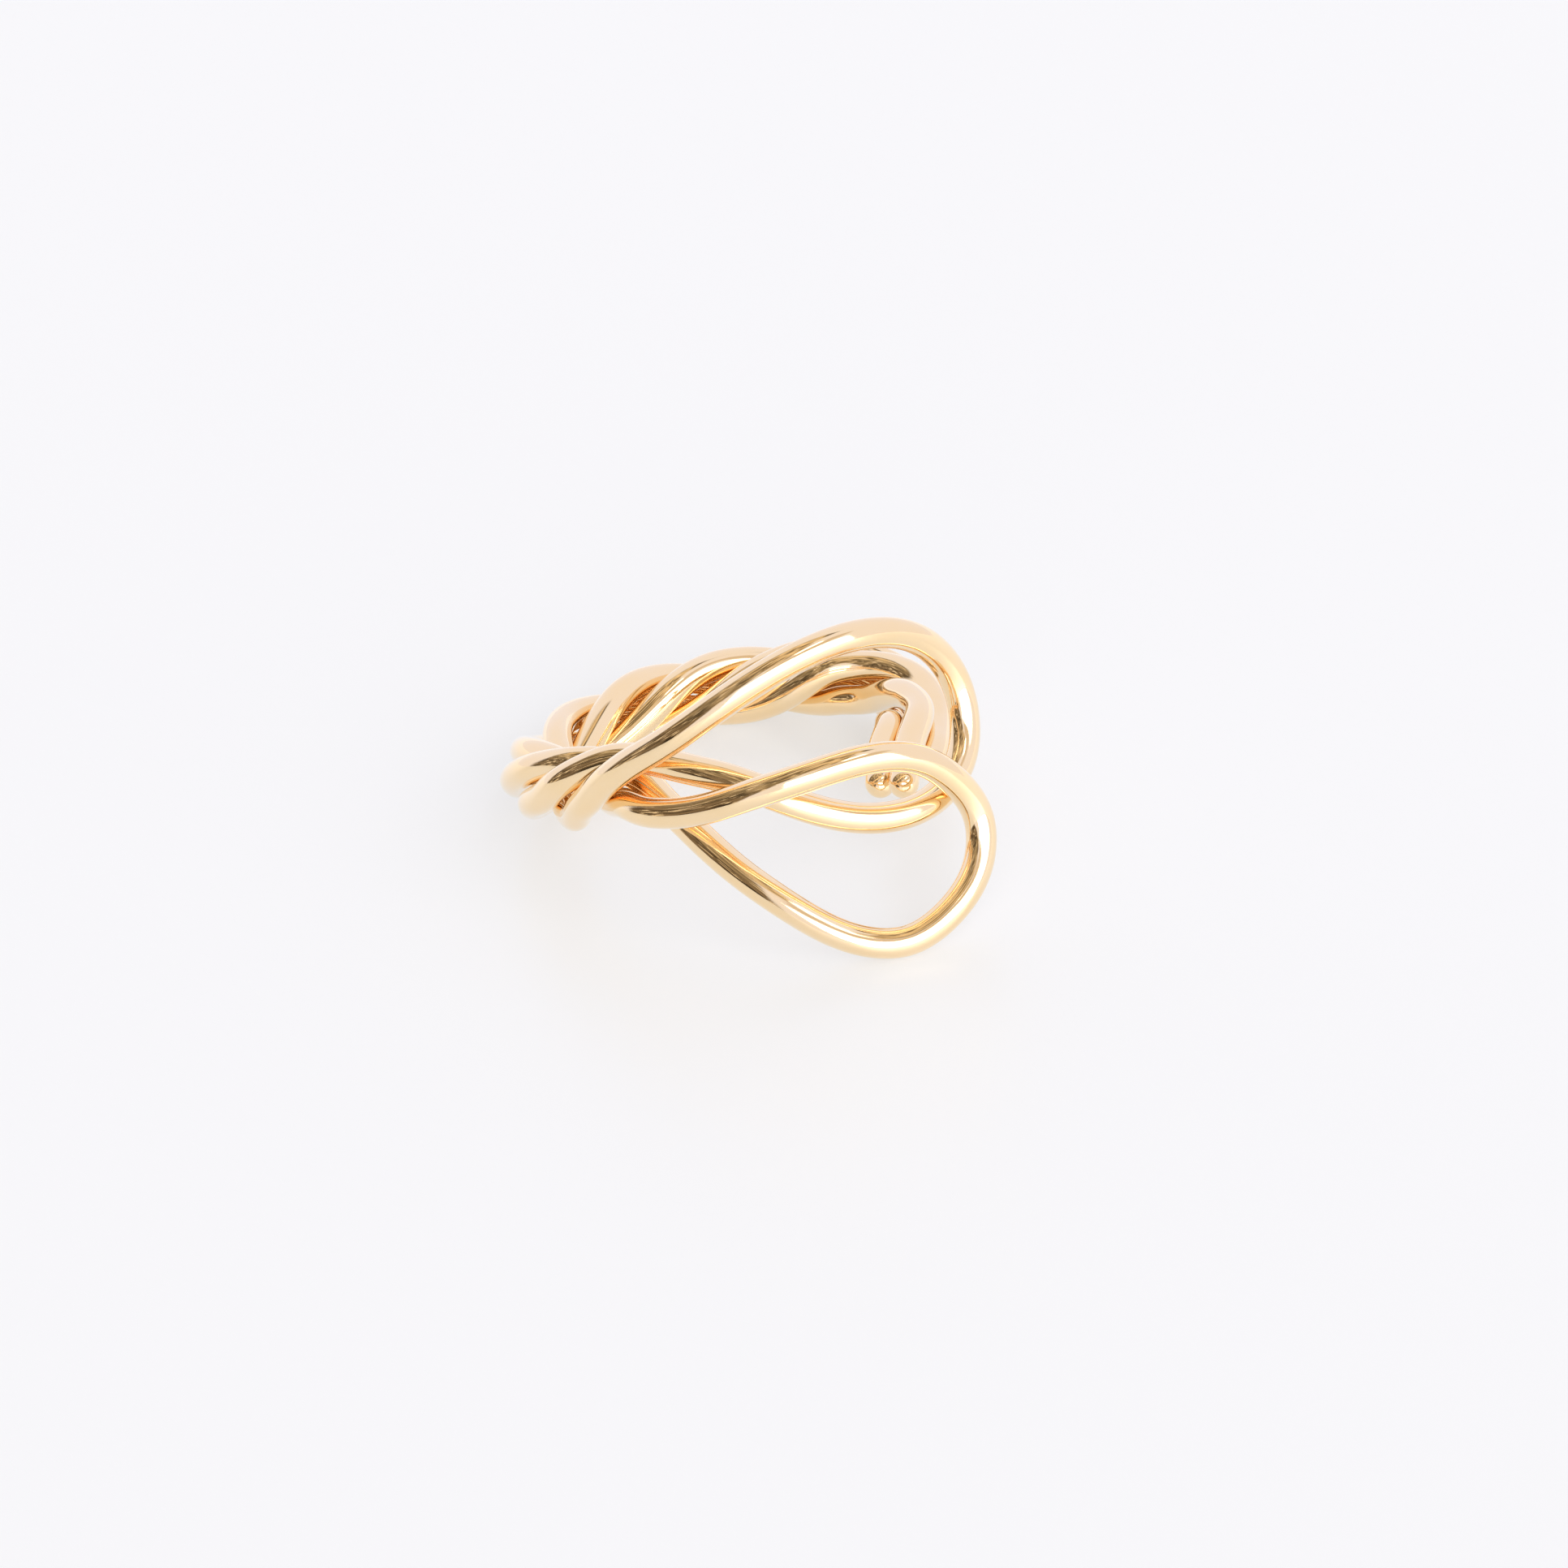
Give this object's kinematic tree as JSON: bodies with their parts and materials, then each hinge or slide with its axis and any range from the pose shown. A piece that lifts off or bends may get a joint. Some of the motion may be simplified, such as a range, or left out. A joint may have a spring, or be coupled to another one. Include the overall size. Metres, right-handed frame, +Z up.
{
  "type": "twisted wire finger ring",
  "caption": "Open finger ring of polished gold wire: a twisted band round the finger whose bent-back wires form teardrop loops, one above the other, at the front.",
  "frame": {"origin": "centre of the ring's bounding box, on the table that the ring lies on", "axes": "+Z up from the table as the ring lies on it, -Y towards the front, where the two loops are, +X from the twisted left end towards the open right end"},
  "size_m": [0.0274, 0.0296, 0.0174],
  "materials": {
    "upper_wire_gold": "polished yellow gold plating",
    "lower_wire_gold": "polished yellow gold plating"
  },
  "bodies": {
    "root": {"upper_loop_wire": "upper_wire_gold", "lower_loop_wire": "lower_wire_gold"}
  },
  "joints": []
}
